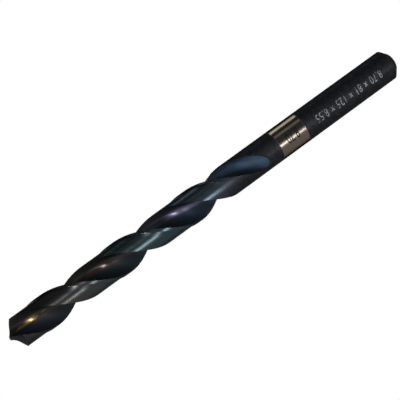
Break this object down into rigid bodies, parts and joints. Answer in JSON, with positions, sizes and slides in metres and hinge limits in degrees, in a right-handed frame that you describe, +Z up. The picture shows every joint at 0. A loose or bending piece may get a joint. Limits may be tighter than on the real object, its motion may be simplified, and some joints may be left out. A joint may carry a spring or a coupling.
{
  "type": "twist drill bit",
  "caption": "Straight-shank twist drill bit with right-hand helical flutes, ground margins and a cone-ground point, for drilling round holes in metal.",
  "frame": {"origin": "centre of the flat end of the shank, on the drill's axis", "axes": "+X along the axis from the shank towards the point, +Z up with the drill lying on its side"},
  "size_m": [0.125, 0.0086, 0.0086],
  "materials": {
    "oxide_steel": "blue-black steam oxide, satin, with a bright ground band on the shank"
  },
  "bodies": {
    "root": {"twist_drill": "oxide_steel"}
  },
  "joints": []
}
